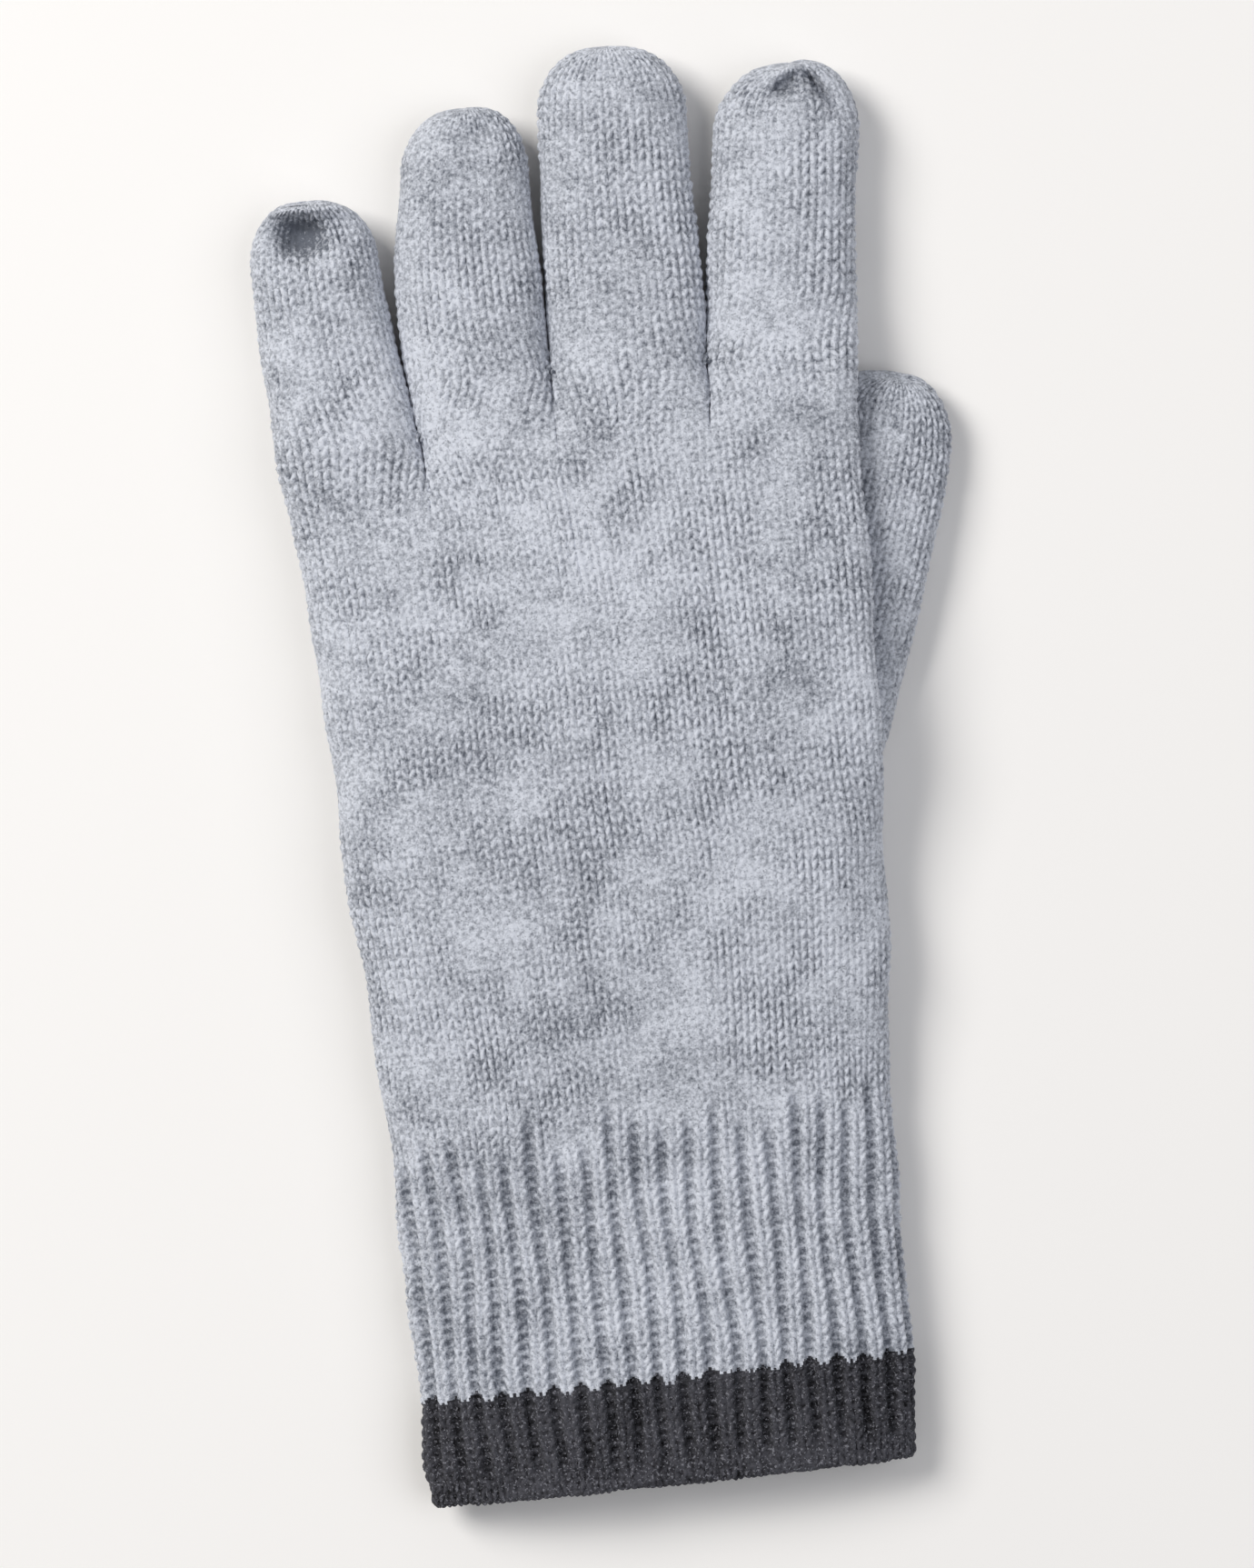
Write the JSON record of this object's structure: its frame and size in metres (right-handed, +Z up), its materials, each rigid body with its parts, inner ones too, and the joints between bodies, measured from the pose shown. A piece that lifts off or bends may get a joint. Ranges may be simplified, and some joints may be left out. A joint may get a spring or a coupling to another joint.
{
  "type": "knitted glove",
  "caption": "Left-hand knitted glove lying palm down, with fingers and a folded-in thumb, a ribbed wrist and a contrast band at its hem.",
  "frame": {"origin": "on the surface the glove lies on, under the middle of its length and of its cuff's width, at the palm", "axes": "+Y from the wrist to the fingertips, +X to the thumb side, +Z up through the back of the hand"},
  "size_m": [0.1205, 0.2548, 0.02],
  "materials": {
    "grey_knit": "brushed heather wool knit",
    "charcoal_knit": "brushed heather wool knit",
    "closing_yarn": "drawn wool yarn"
  },
  "bodies": {
    "hand": {"hand_tube": "grey_knit", "crotch_join_little_ring": "closing_yarn", "crotch_join_ring_middle": "closing_yarn", "crotch_join_middle_index": "closing_yarn"},
    "cuff": {"wrist_rib": "grey_knit", "contrast_band": "charcoal_knit", "cast_on_edge": "charcoal_knit"},
    "little_finger": {"little_finger_tube": "grey_knit", "little_tip_gather": "closing_yarn"},
    "ring_finger": {"ring_finger_tube": "grey_knit", "ring_tip_gather": "closing_yarn"},
    "middle_finger": {"middle_finger_tube": "grey_knit", "middle_tip_gather": "closing_yarn"},
    "index_finger": {"index_finger_tube": "grey_knit", "index_tip_gather": "closing_yarn"},
    "thumb": {"thumb_tube": "grey_knit", "thumb_tip_gather": "closing_yarn"}
  },
  "joints": [
    {"name": "wrist_fold", "type": "hinge", "parent": "hand", "child": "cuff", "pos_m": [0, -0.0638, 0.0152], "axis": [-1, 0, 0], "range_deg": [0, 70]},
    {"name": "little_fold_back", "type": "hinge", "parent": "hand", "child": "little_finger", "pos_m": [-0.0386, 0.0602, 0.0132], "axis": [1, 0, 0], "range_deg": [0, 85]},
    {"name": "ring_fold_back", "type": "hinge", "parent": "hand", "child": "ring_finger", "pos_m": [-0.0136, 0.0692, 0.0132], "axis": [1, 0, 0], "range_deg": [0, 85]},
    {"name": "middle_fold_back", "type": "hinge", "parent": "hand", "child": "middle_finger", "pos_m": [0.0127, 0.0692, 0.0132], "axis": [1, 0, 0], "range_deg": [0, 85]},
    {"name": "index_fold_back", "type": "hinge", "parent": "hand", "child": "index_finger", "pos_m": [0.0399, 0.0692, 0.0132], "axis": [1, 0, 0], "range_deg": [0, 85]},
    {"name": "thumb_spread", "type": "hinge", "parent": "hand", "child": "thumb", "pos_m": [0.05, -0.003, 0.0043], "axis": [0, 0, -1], "range_deg": [0, 45]}
  ]
}
